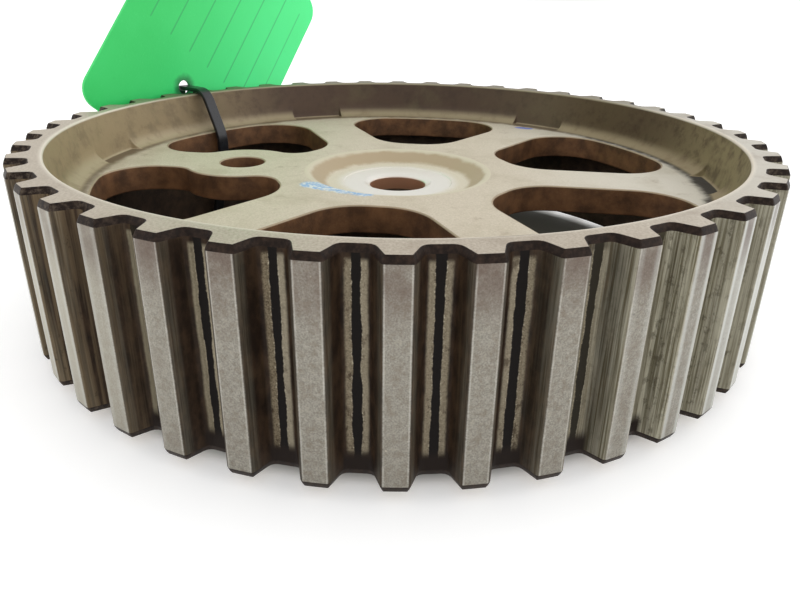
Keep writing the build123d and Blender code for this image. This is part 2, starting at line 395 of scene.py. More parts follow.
def wall_profile():
    """Rows of the wall as (radius, z), plain and within a pocket, from the rim's face to the web."""
    slope = math.atan2(wall_draft, web_depth)
    foot = (wall_foot_radius, web_top)
    centre = (wall_foot_radius - wall_fillet * (1 - math.sin(slope)) / math.cos(slope), web_top + wall_fillet)
    edge = [(wall_top_radius + face_edge_round * (1 - t) ** 2, rim_top - face_edge_round * t * t)
            for t in np.linspace(0, 1, 5)]
    round_ = arc(centre, wall_fillet, -slope, -math.pi / 2, 11)
    top = edge[-1]
    wall = [tuple(p) for p in np.linspace(top, round_[0], 7)[1:-1]]
    plain = edge + wall + [tuple(p) for p in round_]
    corner = 0.45
    down = np.linspace(round_[0], (foot[0] + corner * math.sin(slope), foot[1] + corner), 4)
    bend = [(foot[0] - corner * 0.25, foot[1] + corner * 0.28)]
    across = np.linspace((foot[0] - corner, foot[1]), round_[-1], 6)
    cut = edge + wall + [tuple(p) for p in down] + bend + [tuple(p) for p in across]
    return plain, cut


def add_wall(surface):
    """The dish's wall from the rim's front face down to the web."""
    share = pocket_share()
    plain, cut = wall_profile()
    rings = []
    for (r0, z0), (r1, z1) in zip(plain, cut):
        radius = r0 + (r1 - r0) * share
        angles = wall_angles((r0 + r1) / 2)
        rings.append(surface.add(polar(radius, angles), z0 + (z1 - z0) * share))
    surface.rows(rings, DISH)
    return rings[0], rings[-1]


# ---- windows -----------------------------------------------------------------------------------------
def meet(first, second, near):
    """Where two curves cross, nearest to a point.  A curve is (centre, radius) or (point, direction)."""
    (c0, r0), (c1, r1) = first, second
    if np.ndim(r0):
        (c0, r0), (c1, r1) = (c1, r1), (c0, r0)
    if np.ndim(r1):
        t = (c0 - c1) @ r1
        foot = c1 + r1 * t
        reach = math.sqrt(max(r0 * r0 - (foot - c0) @ (foot - c0), 0))
        options = [foot + r1 * reach, foot - r1 * reach]
    else:
        gap = np.linalg.norm(c1 - c0)
        t = (r0 * r0 - r1 * r1 + gap * gap) / (2 * gap)
        unit = (c1 - c0) / gap
        side = np.array([-unit[1], unit[0]]) * math.sqrt(max(r0 * r0 - t * t, 0))
        options = [c0 + unit * t + side, c0 + unit * t - side]
    return min(options, key=lambda p: np.linalg.norm(p - near))


def window_side(sign, boss):
    """Arcs down one side of window 0 as (centre, radius, bulges out), from its outer to its inner corner."""
    axis = np.zeros(2)
    spoke = polar(1.0, sign * window_pitch / 2)
    across = polar(1.0, sign * (window_pitch / 2 - 90))
    side_at = lambda gap: (across * (spoke_width / 2 + gap), spoke)
    outer = boss_side_round if boss else window_outer_round
    near = spoke * window_outer_radius
    arcs = [(meet((axis, window_outer_radius - outer), side_at(outer), near), outer, True)]
    if boss:
        middle = spoke * locating_pitch_radius
        blend = locating_boss_blend
        round_boss = (middle, locating_boss_radius + blend)
        arcs.append((meet(round_boss, side_at(blend), near), blend, True))
        arcs.append((middle, locating_boss_radius, False))
        inner_near = spoke * window_inner_radius + across * locating_boss_radius
        arcs.append((meet(round_boss, (axis, window_inner_radius + blend), inner_near), blend, True))
    else:
        r = window_inner_round
        arcs.append((meet((axis, window_inner_radius + r), side_at(r), spoke * window_inner_radius), r, True))
    return arcs


def tangent_points(first, second):
    """End of one arc and start of the next: they touch each other, or a straight line touches both."""
    (c0, r0, _), (c1, r1, _) = first, second
    length = np.linalg.norm(c1 - c0)
    unit = (c1 - c0) / length
    for reach, way in ((r0 + r1, 1), (abs(r0 - r1), 1 if r0 > r1 else -1)):
        if abs(length - reach) < 1e-6:
            p = c0 + unit * r0 * way
            return p, p
    s = math.asin((r0 - r1) / length)
    normal = np.array([unit[1], -unit[0]])
    tilt = unit * math.sin(s) + normal * math.cos(s)
    return c0 + tilt * r0, c1 + tilt * r1


def window_outline(boss_side):
    """Window 0 as a closed ring of points, going round anticlockwise seen from the front."""
    axis = np.zeros(2)
    right = window_side(1, boss_side == 1)
    left = window_side(-1, boss_side == -1)
    loop = [(axis, window_outer_radius, True)] + right + [(axis, window_inner_radius, False)] + left[::-1]
    ends = [tangent_points(first, second) for first, second in zip(loop, loop[1:] + loop[:1])]
    points = []
    for k, (centre, radius, bulges) in enumerate(loop):
        start, end = ends[k - 1][1], ends[k][0]
        a = math.atan2(*(start - centre)[::-1])
        b = math.atan2(*(end - centre)[::-1])
        sweep = (b - a) % (2 * math.pi) if bulges else -((a - b) % (2 * math.pi))
        count = max(2, int(abs(sweep) * radius / window_step) + 2)
        points.append(arc(centre, radius, a, a + sweep, count)[:-1])
        gap = np.linalg.norm(ends[k][1] - end)
        if gap > 1e-6:
            points.append(np.linspace(end, ends[k][1], max(1, int(gap / window_step)) + 1)[:-1])
    return np.concatenate(points)


def outward(points):
    """Unit normals of a closed anticlockwise ring, pointing away from its inside."""
    ahead, behind = np.roll(points, -1, 0), np.roll(points, 1, 0)
    tangent = ahead - behind
    tangent /= np.linalg.norm(tangent, axis=1)[:, None]
    return np.stack([tangent[:, 1], -tangent[:, 0]], -1)


def hole_through(surface, outline, upper, lower, radius, slot):
    """Wall of a hole through a sheet, with rounded edges; gives its front and rear rings.

    The outline goes round anticlockwise.  A clockwise one makes the outer edge of the sheet instead.
    """
    normal = outward(outline)
    steps = np.linspace(0, 1, 4)
    rows = [(radius * (1 - t) ** 2, upper - radius * t * t) for t in steps]
    rows += [(0.0, z) for z in np.linspace(upper - radius, lower + radius, 5)[1:-1]]
    rows += [(radius * (1 - t) ** 2, lower + radius * t * t) for t in steps[::-1]]
    rings = [surface.add(outline + normal * offset, z) for offset, z in rows]
    surface.rows(rings, slot)
    return rings[0], rings[-1]


def turned(points, angle):
    a = math.radians(angle)
    return points @ np.array([[math.cos(a), -math.sin(a)], [math.sin(a), math.cos(a)]]).T


def add_holes(surface):
    """The six windows and the locating hole; gives their front and rear rings."""
    outlines = []
    for number in range(window_count):
        boss = {locating_spoke: 1, (locating_spoke + 1) % window_count: -1}.get(number, 0)
        outlines.append(turned(window_outline(boss), window_phase + window_pitch * number))
    centre = polar(locating_pitch_radius, window_phase + window_pitch * (locating_spoke + 0.5))
    outlines.append(arc(centre, locating_hole_radius, 0, 2 * math.pi, 49)[:-1])
    return [hole_through(surface, o, web_top, web_bottom, window_edge_round, CUT_WALL) for o in outlines]


def inside(points, ring):
    """For each point, whether it lies inside a closed ring of points."""
    x, y = points[:, 0:1], points[:, 1:2]
    a, b = ring[None, :, :2], np.roll(ring, -1, 0)[None, :, :2]
    crosses = (a[..., 1] > y) != (b[..., 1] > y)
    rise = np.where(b[..., 1] == a[..., 1], 1.0, b[..., 1] - a[..., 1])
    at = a[..., 0] + (y - a[..., 1]) * (b[..., 0] - a[..., 0]) / rise
    return (np.sum(crosses & (x < at), axis=1) % 2).astype(bool)


def fill_flat(surface, outer, holes, z, slot, faces_up):
    """Flat face between an outer ring and the holes in it, with evenly spread points."""
    points = np.concatenate(surface.points)
    loops = [outer] + holes
    known = np.concatenate(loops)
    edges, first = [], 0
    for loop in loops:
        k = np.arange(len(loop))
        edges += [(int(a), int(b)) for a, b in zip(first + k, first + (k + 1) % len(loop))]
        first += len(loop)
    boundary = points[known][:, :2]
    reach = tip_radius
    spread = []
    for row, y in enumerate(np.arange(-reach, reach, web_grid * math.sqrt(3) / 2)):
        xs = np.arange(-reach, reach, web_grid) + (row % 2) * web_grid / 2
        spread.append(np.column_stack([xs, np.full(len(xs), y)]))
    spread = np.concatenate(spread)
    nearest = np.min(np.linalg.norm(spread[:, None] - boundary[None], axis=2), axis=1)
    on_face = lambda p: inside(p, points[outer]) & ~np.any([inside(p, points[h]) for h in holes], axis=0)
    spread = spread[(nearest > web_grid * 0.6) & on_face(spread)]
    coords = [Vector(p) for p in np.concatenate([boundary, spread])]
    verts, _, faces, origins, _, _ = geometry.delaunay_2d_cdt(coords, edges, [], 2, 1e-5)
    index, fresh = [], []
    for v, origin in zip(verts, origins):
        if origin and min(origin) < len(known):
            index.append(int(known[min(origin)]))
        else:
            index.append(None)
            fresh.append(v)
    new = iter(surface.add(np.array([tuple(v) for v in fresh]), z))
    index = [int(next(new)) if k is None else k for k in index]
    flat = np.array([tuple(v) for v in verts])
    kept = on_face(np.array([flat[list(face)].mean(0) for face in faces]))
    for face in [f for f, keep in zip(faces, kept) if keep]:
        a, b, c = (verts[k] for k in face)
        up = (b - a).cross(c - a) > 0
        corners = [index[k] for k in face]
        surface.triangle(corners if up == faces_up else corners[::-1], slot)


# ---- hub ---------------------------------------------------------------------------------------------
def revolve_rows(surface, profile, slot, first=None, last=None):
    """Rows turned about the axis from (radius, z) points; an end may be a ring that exists already."""
    ends = {0: first, len(profile) - 1: last}
    rings = []
    for k, (r, z) in enumerate(profile):
        known = ends.get(k)
        rings.append(ring_at(surface, r, z, hub_columns) if known is None else known)
    surface.rows(rings, slot)
    return rings


def soft_corner(before, corner, after, radius, count=4):
    """Points that round a corner of a profile."""
    corner = np.array(corner)
    a = np.array(before) - corner
    b = np.array(after) - corner
    a, b = a / np.linalg.norm(a) * radius, b / np.linalg.norm(b) * radius
    return [tuple(corner + a * (1 - t) ** 2 + b * t * t) for t in np.linspace(0, 1, count)]


def rounded_profile(corners, rounds):
    """A profile through corners, each rounded by the radius given for it."""
    out = [corners[0]]
    for k in range(1, len(corners) - 1):
        out += soft_corner(*corners[k - 1:k + 2], rounds[k]) if rounds[k] else [corners[k]]
    return out + [corners[-1]]


def add_hub(surface, front_ring, rear_ring):
    """Recess, washer seat, bore, shaft seat and the hub's rear, out to the rear of the web."""
    recess = rounded_profile(
        [(hub_face_radius, web_top), (recess_radius, web_top), (recess_floor_radius, recess_floor),
         (washer_seat_radius, recess_floor), (washer_seat_radius - 0.15, seat_floor),
         (bore_mouth_radius, seat_floor), (bore_radius, seat_floor - bore_mouth_depth),
         (bore_radius, bore_stain_end)],
        [0, 0.7, 0.7, 0.08, 0.08, 0.08, 0.15, 0])
    rings = revolve_rows(surface, recess, RECESS, first=front_ring)
    bore = rounded_profile(
        [(bore_radius, bore_stain_end), (bore_radius, shaft_seat_depth), (shaft_seat_radius, shaft_seat_depth),
         (shaft_seat_radius, 0.0), (hub_radius, 0.0), (hub_radius, web_bottom),
         (hub_radius + rear_fillet, web_bottom)],
        [0, 0.3, 0.3, 0.3, hub_edge_break, rear_fillet * 0.95, 0])
    revolve_rows(surface, bore, REAR, first=rings[-1], last=rear_ring)


def ring_at(surface, radius, z, count):
    return surface.add(polar(radius, np.arange(count) * 360.0 / count), z)


def add_rear_wall(surface, rear_outer, rear_edge):
    """The rear dish's wall, from the rim's rear face in to the web."""
    profile = rounded_profile(
        [(rear_face_radius, rim_bottom), (rear_wall_radius, rim_bottom), (rear_wall_radius, web_bottom),
         (rear_wall_radius - rear_fillet, web_bottom)], [0, face_edge_round, rear_fillet * 0.95, 0])
    rings = [rear_edge] + [ring_at(surface, r, z, len(rear_edge)) for r, z in profile[1:-1]] + [rear_outer]
    surface.rows([r[::-1] for r in rings], REAR)


def wheel_piece(materials):
    surface = Surface()
    front_outline, rear_outline, flow = add_teeth(surface)
    wall_top_ring, wall_foot_ring = add_wall(surface)
    rim_face(surface, front_outline, rim_top, wall_top_ring, front=True)
    holes = add_holes(surface)
    recess_ring = ring_at(surface, hub_face_radius, web_top, hub_columns)
    fill_flat(surface, wall_foot_ring, [recess_ring] + [h[0] for h in holes], web_top, DISH, faces_up=True)
    rear_hub_ring = ring_at(surface, hub_radius + rear_fillet, web_bottom, hub_columns)
    rear_outer = ring_at(surface, rear_wall_radius - rear_fillet, web_bottom, rear_columns)
    fill_flat(surface, rear_outer, [rear_hub_ring] + [h[1] for h in holes], web_bottom, REAR, faces_up=False)
    add_hub(surface, recess_ring, rear_hub_ring)
    rear_edge = ring_at(surface, rear_face_radius, rim_bottom, rear_columns)
    rim_face(surface, rear_outline, rim_bottom, rear_edge, front=False)
    add_rear_wall(surface, rear_outer, rear_edge)
    return surface.mesh("worn_pulley_wheel", materials, flow=flow)


# ---- cable tie ---------------------------------------------------------------------------------------
def strap_route():
    """Corners of the strap's middle line as (radius, z, bend), from the top outside, down and round."""
    low = rim_bottom - strap_clearance - strap_thickness / 2
    behind = rear_wall_radius - strap_clearance - strap_thickness
    card = tip_radius + tag_clearance + tag_thickness + strap_clearance + strap_thickness
    front = wall_top_radius + rim_edge_break - strap_front_bend * math.tan(math.radians(strap_dive / 2))
    in_window = window_outer_radius - strap_window_gap - strap_thickness / 2
    dive = (front - in_window) * math.tan(math.radians(strap_dive))
    return [(card, strap_top, strap_bend), (card, low, strap_bend), (behind, low, strap_bend),
            (in_window, web_bottom, strap_bend), (in_window, strap_top - dive, strap_window_bend),
            (front, strap_top, strap_front_bend)]


def rounded_line(corners, step):
    """Closed line through (x, y, bend) corners with its bends rounded, as points about `step` apart."""
    line = []
    for k, (x, y, bend) in enumerate(corners):
        corner = np.array([x, y])
        back = np.array(corners[k - 1][:2]) - corner
        ahead = np.array(corners[(k + 1) % len(corners)][:2]) - corner
        back, ahead = back / np.linalg.norm(back), ahead / np.linalg.norm(ahead)
        half = math.acos(np.clip(back @ ahead, -1, 1)) / 2
        middle = (back + ahead) / np.linalg.norm(back + ahead)
        centre = corner + middle * bend / math.sin(half)
        start, end = corner + back * bend / math.tan(half), corner + ahead * bend / math.tan(half)
        a, b = (math.atan2(*(p - centre)[::-1]) for p in (start, end))
        b = a + (b - a + math.pi) % (2 * math.pi) - math.pi
        line.append(arc(centre, bend, a, b, 24))
    line = np.concatenate(line)
    closed = np.concatenate([line, line[:1]])
    walked = np.concatenate([[0], np.cumsum(np.linalg.norm(np.diff(closed, axis=0), axis=1))])
    at = np.linspace(0, walked[-1], int(walked[-1] / step) + 1)[:-1]
    return np.stack([np.interp(at, walked, closed[:, k]) for k in (0, 1)], -1), at


def add_tube(surface, rings, closed=False):
    """A tube through rings of points: a closed loop of them, or a block with its two ends filled."""
    numbers = [surface.add(ring[:, :2], ring[:, 2]) for ring in rings]
    numbers += numbers[:1] if closed else []
    surface.rows(numbers, 0)
    for ring, backwards in () if closed else ((numbers[0], True), (numbers[-1], False)):
        for k in range(1, len(ring) - 1):
            face = [ring[0], ring[k], ring[k + 1]]
            surface.triangle(face[::-1] if backwards else face, 0)


def soft_box(width, depth, corner, count=4):
    """Rectangle with rounded corners as an anticlockwise ring of points."""
    sides = [(1, 1, 0), (-1, 1, 90), (-1, -1, 180), (1, -1, 270)]
    turns = [arc((sx * (width / 2 - corner), sy * (depth / 2 - corner)), corner,
                 math.radians(a), math.radians(a + 90), count) for sx, sy, a in sides]
    return np.concatenate(turns)


def tie_frame():
    """The strap's plane: local X is away from the wheel's axis, local Y is up, local Z is along the rim."""
    away = polar(1.0, strap_angle)
    along = np.cross((*away, 0), (0, 0, 1))
    return Matrix(((away[0], 0, along[0], 0), (away[1], 0, along[1], 0), (0, 1, along[2], 0), (0, 0, 0, 1)))


def across_tie(width, depth, corner, x, y):
    """A level section of the tie's head or tail, in the order that makes a block face outwards."""
    ring = soft_box(width, depth, corner)
    return np.column_stack([ring[:, 0] + x, np.full(len(ring), y), ring[:, 1]])[::-1]


def tie_piece(materials):
    """The strap with its fine ridges, the locking head with its slot, and the cut tail."""
    surface = Surface()
    line, walked = rounded_line(strap_route()[::-1], tie_step)
    section = soft_box(strap_thickness, strap_width, strap_round)
    inner = section[:, 0] < 0
    high_ridge = np.where(np.abs(section[:, 1]) < tie_ridge_reach, 1, 0.3)
    rings = []
    for (x, y), (nx, ny), at in zip(line, outward(line), walked):
        ridge = tie_ridge_height * abs(math.sin(math.pi * at / tie_ridge_pitch)) ** 1.5
        across = section[:, 0] + np.where(inner, ridge * high_ridge, 0)
        rings.append(np.column_stack([x + nx * across, y + ny * across, section[:, 1]]))
    add_tube(surface, rings[::-1], closed=True)
    base = strap_route()[0][0]
    middle = base + tie_head_depth / 2
    low, high = tie_head_height - tie_head_length / 2, tie_head_height + tie_head_length / 2
    depth, width = tie_head_depth, tie_head_width
    head = [across_tie(depth - s, width - s - 0.25 * t, tie_head_round, middle, low + (high - low) * t)
            for t, s in tie_head_shape]
    head += [across_tie(depth - s, width - s + 0.2, tie_slot_round, middle, high - drop)
             for s, drop in tie_slot_shape]
    add_tube(surface, head)
    at = base + depth * tie_tail_place + strap_thickness / 2
    end = high + tie_tail_length
    tail = ((tie_head_height, 0.0), (high - 0.3, 0.0), (high + 0.5, 0.0), (high + 1.2, 0.02),
            (end - 0.14, 0.04), (end, 0.24))
    add_tube(surface, [across_tie(strap_thickness - s, strap_width - s, tie_tail_round, at, y)
                       for y, s in tail])
    return surface.mesh("nylon_cable_tie", materials, tie_frame())


# ---- card tag ----------------------------------------------------------------------------------------
def tag_place():
    """Where the card is: local X runs across it, local Y along it, and local Z faces the wheel."""
    tilt = math.radians(tag_tilt)
    facing = -np.array([*polar(1.0, tag_phase), 0])
    level = -np.array([*polar(1.0, tag_phase + 90), 0])
    across = level * math.cos(tilt) - np.array([0, 0, math.sin(tilt)])
    up = np.cross(facing, across)
    stand_off = tip_radius + tag_clearance + tag_thickness / 2
    radius = stand_off / math.cos(math.radians(strap_angle - tag_phase))
    spot = np.array([*polar(radius, strap_angle), strap_top]) * MM
    return Matrix([[across[k], up[k], facing[k], spot[k]] for k in range(3)] + [[0, 0, 0, 1]])


def tag_piece(materials):
    """Card with rounded corners, soft edges and the punched hole."""
    surface = Surface()
    outline = soft_box(tag_width, tag_length, tag_corner_round, 10)
    closed = np.concatenate([outline, outline[:1]])
    counts = [max(1, int(np.linalg.norm(b - a) / card_step)) for a, b in zip(closed, closed[1:])]
    fine = [np.linspace(a, b, n + 1)[:-1] for a, b, n in zip(closed, closed[1:], counts)]
    outline = np.concatenate(fine) + (tag_hole_off_middle, tag_length / 2 - tag_hole_from_end)
    top, bottom = tag_thickness / 2, -tag_thickness / 2
    edge = hole_through(surface, outline[::-1], top, bottom, 0.12, 0)
    punched = arc((0, 0), tag_hole_radius, 0, 2 * math.pi, 41)[:-1]
    hole = hole_through(surface, punched, top, bottom, 0.15, 0)
    fill_flat(surface, edge[0], [hole[0]], top, 0, faces_up=True)
    fill_flat(surface, edge[1], [hole[1]], bottom, 0, faces_up=False)
    return surface.mesh("blank_card_tag", materials, tag_place())


# ---- materials ---------------------------------------------------------------------------------------
class Graph:
    """A node graph written as expressions.  Colours in it are 0-255 display values."""

    def __init__(self, owner):
        owner.use_nodes = True
        self.tree = owner.node_tree

    def put(self, socket, value):
        if isinstance(value, bpy.types.NodeSocket):
            self.tree.links.new(value, socket)
        elif hasattr(value, "__len__") and len(socket.default_value) == 4:
            socket.default_value = (*colour(value), 1)
        elif value is not None:
            socket.default_value = value

    def node(self, kind, values=(), out=0, **settings):
        """Adds a node with its settings and inputs, and gives the output asked for."""
        node = self.tree.nodes.new("ShaderNode" + kind)
        for name, setting in settings.items():
            setattr(node, name, setting)
        for socket, value in values.items() if isinstance(values, dict) else enumerate(values):
            self.put(node.inputs[socket], value)
        return node.outputs[out]

    def split(self, vector):
        return self.node("SeparateXYZ", [vector], slice(3))

    def join(self, x, y, z):
        return self.node("CombineXYZ", [x, y, z])

    def math(self, operation, *values):
        return self.node("Math", values, operation=operation)

    def add(self, a, b):
        return self.math("ADD", a, b)

    def less(self, a, b):
        return self.math("SUBTRACT", a, b)

    def times(self, a, b):
        return self.math("MULTIPLY", a, b)

    def shift(self, value, amount):
        """A value from 0 to 1 as an offset, half the amount either way."""
        return self.times(self.less(value, 0.5), amount)

    def ramp(self, value, low, high, top=1.0):
        """0 at low, top at high, smooth between."""
        ends = (low, high, 0, top) if high > low else (high, low, top, 0)
        return self.node("MapRange", [value, *ends], interpolation_type="SMOOTHSTEP")


class Shading(Graph):
    """A material's graph.  Lengths in it are millimetres in the piece's own frame."""

    def __init__(self, name, frame=Matrix()):
        self.material = bpy.data.materials.new(name)
        super().__init__(self.material)
        self.shader = self.tree.nodes["Principled BSDF"]
        into = frame.inverted()
        self.place = self.node("Mapping", {
            "Vector": self.node("TexCoord", out="Object"), "Scale": (1 / MM, 1 / MM, 1 / MM),
            "Rotation": into.to_euler(), "Location": into.translation / MM})
        self.x, self.y, self.z = self.split(self.place)

    def between(self, value, low, high, soft):
        """1 between low and high, 0 outside."""
        rise = self.ramp(value, low - soft, low + soft)
        return self.times(rise, self.ramp(value, high + soft, high - soft))

    def mix(self, share, a, b):
        """A colour that goes from a to b."""
        return self.node("Mix", {0: share, 6: a, 7: b}, 2, data_type="RGBA")

    def layers(self, base, *layers):
        """A colour with others laid over it in turn, each given as (share, colour)."""
        for share, over in layers:
            base = self.mix(share, base, over)
        return base

    def level(self, share, a, b):
        """A number that goes from a to b."""
        return self.node("Mix", {0: share, 2: a, 3: b}, data_type="FLOAT")

    def noise(self, size, detail=3.0, rough=0.55, at=None, stretch=None, seed=0.0):
        """Noise from 0 to 1 whose blotches are about `size` across."""
        at = self.place if at is None else at
        if stretch is not None:
            at = self.node("VectorMath", [at, stretch], operation="MULTIPLY")
        values = {"Vector": at, "Scale": 1 / size, "Detail": detail, "Roughness": rough, "W": seed}
        return self.node("TexNoise", values, noise_dimensions="4D")

    def spots(self, spacing, low, high, at=None, seed=0.0):
        """Scattered round spots, 1 at their middles; low and high are radii in shares of the spacing."""
        at = self.place if at is None else at
        values = {"Vector": at, "Scale": 1 / spacing, "W": seed}
        return self.ramp(self.node("TexVoronoi", values, voronoi_dimensions="4D"), high, low)

    def length(self, x, y):
        return self.math("SQRT", self.add(self.times(x, x), self.times(y, y)))

    def radius(self):
        return self.length(self.x, self.y)

    def facing_up(self):
        """1 on level ground, 0 on an upright wall."""
        return self.split(self.node("NewGeometry", out="Normal"))[2]

    def from_line(self, start, end):
        """Distance in plan from the straight line between two points."""
        start, along = np.array(start), np.array(end) - start
        length = np.linalg.norm(along)
        along = along / length
        px, py = self.add(self.x, -start[0]), self.add(self.y, -start[1])
        t = self.add(self.times(px, along[0]), self.times(py, along[1]))
        t = self.math("MAXIMUM", self.math("MINIMUM", t, length), 0.0)
        return self.length(self.less(px, self.times(t, along[0])), self.less(py, self.times(t, along[1])))

    def finish(self, base, roughness, metallic=0.0, relief=None, relief_mm=0.05, shine=0.5):
        values = {"Base Color": base, "Roughness": roughness, "Metallic": metallic,
                  "Specular IOR Level": shine}
        if relief is not None:
            bump = {"Strength": 1.0, "Distance": relief_mm * MM, "Height": relief}
            values["Normal"] = self.node("Bump", bump)
        for socket, value in values.items():
            self.put(self.shader.inputs[socket], value)
        return self.material


def colour(values):
    """A colour from 0-255 display values."""
    return tuple(((v / 255 + 0.055) / 1.055) ** 2.4 if v > 10 else v / 3294 for v in values)


def tooth_steel():
    """Worn crowns with painted highlights along their edges and painted sheen at the sides, stained flanks,
    and grooves with two rubbed strips beside a dark middle.
    """
    g = Shading("tooth_steel")
    along, depth, _ = g.split(g.node("Attribute", out="Vector", attribute_name="flow"))
    groove = g.math("FLOOR", g.times(g.add(along, 50.0), 0.01))
    offset = g.less(along, g.times(groove, 100.0))
    d = g.math("ABSOLUTE", offset)
    local = g.join(offset, depth, g.times(groove, 7.3))
    left, right = g.ramp(g.x, -22, -50), g.ramp(g.x, 12, 36)
    far_right = g.ramp(g.x, 34, 56)

    grain = g.noise(0.22, 4, 0.7)
    fine = g.noise(0.10, 2, 0.6)
    cloud = g.noise(5.5, 4, 0.6, seed=2)
    patch = g.noise(0.8, 4, 0.65, seed=3)
    streak = g.noise(0.22, 4, 0.6, at=local, stretch=(1.0, 0.02, 1.0), seed=4)
    broad = g.noise(0.8, 3, 0.6, at=local, stretch=(1.0, 0.03, 1.0), seed=12)
    ragged = g.noise(0.5, 4, 0.65, at=local, stretch=(0.3, 1.0, 1.0), seed=6)
    wander = g.noise(5.0, 3, 0.55, at=local, stretch=(0.5, 1.0, 1.0), seed=7)
    blotch = g.noise(1.6, 5, 0.65, at=local, stretch=(1.0, 0.45, 1.0), seed=8)
    deposit = g.noise(1.0, 6, 0.72, at=local, stretch=(1.0, 0.6, 1.0), seed=10)
    pits = g.spots(2.9, 0.02, 0.10, seed=5)

    crown = g.layers(
        g.mix(g.ramp(grain, 0.30, 0.72), (118, 114, 105), (160, 156, 146)),
        (g.ramp(patch, 0.44, 0.66, 0.5), (118, 107, 93)),
        (g.ramp(patch, 0.46, 0.32, 0.35), (160, 154, 138)),
        (g.ramp(cloud, 0.50, 0.72, 0.35), (122, 112, 102)),
        # painted sheen: the crowns are lighter towards the left and the far right
        (g.times(left, 0.7), g.mix(streak, (158, 152, 134), (200, 195, 178))),
        (g.times(far_right, 0.85), g.mix(streak, (178, 178, 170), (212, 214, 207))),
        (g.ramp(streak, 0.62, 0.74, 0.2), (176, 172, 162)),
        (g.times(g.spots(1.5, 0.02, 0.10, seed=1), 0.7), (196, 188, 170)),
        (g.times(pits, 0.8), (48, 38, 32)))
    brown = g.times(g.ramp(depth, 10.0, 1.2), g.ramp(cloud, 0.2, 0.62))
    crown = g.mix(g.times(brown, 0.75), crown, (94, 78, 70))
    # painted highlight: a soft bright band along the crowns' edges, at the left and towards the right
    painted_crown_highlight = g.math("MAXIMUM", g.times(left, 0.5), g.ramp(g.x, 18, 44, 0.85))
    painted_crown_highlight = g.times(g.between(d, 4.9, 5.5, 0.35), painted_crown_highlight)
    crown = g.mix(painted_crown_highlight, crown, g.mix(cloud, (176, 177, 170), (206, 208, 203)))

    lines = g.mix(g.ramp(streak, 0.35, 0.65), (98, 92, 72), (166, 162, 144))
    lines = g.mix(g.times(far_right, 0.55), lines, (140, 136, 120))
    stain = g.layers(
        g.mix(g.ramp(blotch, 0.35, 0.7), (30, 21, 15), (60, 45, 32)),
        (g.ramp(broad, 0.55, 0.75, 0.45), (78, 66, 46)),
        (g.times(right, g.level(g.ramp(broad, 0.3, 0.6), 0.7, 1.0)), lines),
        (g.times(g.times(right, 0.75), g.ramp(deposit, 0.50, 0.62)), (78, 72, 58)),
        (g.times(left, g.ramp(broad, 0.35, 0.6)), g.mix(streak, (78, 62, 44), (124, 108, 84))),
        (g.times(g.times(left, 0.8), g.ramp(deposit, 0.56, 0.66)), (46, 36, 24)),
        (g.times(g.between(d, 3.6, 4.9, 0.4), g.level(right, 0.12, 0.5)), lines))

    jag = g.add(g.shift(ragged, 0.35), g.shift(wander, 0.75))
    inner, outer = g.less(g.add(d, jag), 0.52), g.less(1.38, g.add(d, g.times(jag, 0.5)))
    strip = g.times(g.ramp(inner, -0.05, 0.08), g.ramp(outer, -0.12, 0.28))
    near_side = g.ramp(offset, 0.4, -0.4)
    swap = g.noise(1.0, 1, 0.5, at=g.join(g.times(groove, 3.1), 0.0, 0.0), seed=11)
    near_side = g.level(g.ramp(swap, 0.4, 0.6), near_side, g.less(1.0, near_side))
    ends = g.times(g.ramp(g.add(depth, jag), 1.3, 2.0), g.ramp(g.add(depth, g.times(jag, 3.0)), 27.6, 26.2))
    strip = g.times(strip, ends)
    rubbed = g.mix(g.ramp(grain, 0.30, 0.72), (80, 69, 53), (132, 121, 101))
    rubbed = g.mix(g.times(near_side, g.level(streak, 0.1, 0.8)), rubbed, (154, 147, 130))
    grimy_and_painted_shade = g.times(g.ramp(deposit, 0.52, 0.64), g.level(near_side, 0.9, 0.45))
    rubbed = g.mix(grimy_and_painted_shade, rubbed, (50, 37, 27))
    fleck = g.times(g.ramp(inner, 0.22, 0.02), g.ramp(grain, 0.5, 0.66))
    rubbed = g.layers(
        rubbed,
        (g.times(fleck, 0.8), (196, 188, 168)),
        (g.times(right, 0.8), lines),
        # painted highlight over the rubbed strips: they are lighter towards the left
        (g.ramp(g.x, -12, -34, 0.8), g.mix(streak, (124, 114, 90), (184, 176, 152))))
    middle = g.ramp(inner, 0.10, -0.04)
    dark = g.layers(
        g.mix(g.times(right, 0.5), (16, 11, 8), (86, 80, 62)),
        (g.times(left, 0.6), g.mix(g.ramp(deposit, 0.4, 0.6), (44, 33, 23), (92, 82, 58))),
        (g.times(g.spots(0.9, 0.02, 0.12, at=local, seed=9), 0.5), (150, 140, 120)))
    root = g.layers(
        g.mix(middle, stain, dark),
        (strip, rubbed),
        (g.times(g.ramp(depth, 25.6, 27.6), g.ramp(d, 2.6, 1.6)), (30, 21, 16)))

    is_crown = g.ramp(g.add(d, g.shift(grain, 0.25)), 4.72, 5.02)
    is_root = g.ramp(d, 2.3, 1.6)
    base = g.mix(is_root, stain, root)
    base = g.mix(is_crown, base, crown)
    # painted highlight: a thin bright line along the crowns' edges, weaker towards the left
    edge = g.times(g.level(grain, 0.3, 1.2), g.ramp(wander, 0.25, 0.55))
    edge = g.times(g.between(d, 4.86, 5.04, 0.08), edge)
    base = g.mix(g.times(edge, g.level(left, 0.55, 0.25)), base, (200, 197, 188))
    rough = g.level(is_crown, g.level(strip, 0.5, 0.40), 0.40)
    rough = g.add(rough, g.shift(fine, 0.25))
    metal = g.level(is_crown, g.level(strip, g.level(right, 0.1, 0.4), 0.85), 0.92)
    relief = g.add(g.times(grain, 0.4), g.times(fine, 0.25))
    relief = g.less(relief, pits)
    relief = g.add(relief, g.times(strip, 0.8))
    return g.finish(base, rough, metal, relief, 0.03, 0.12)


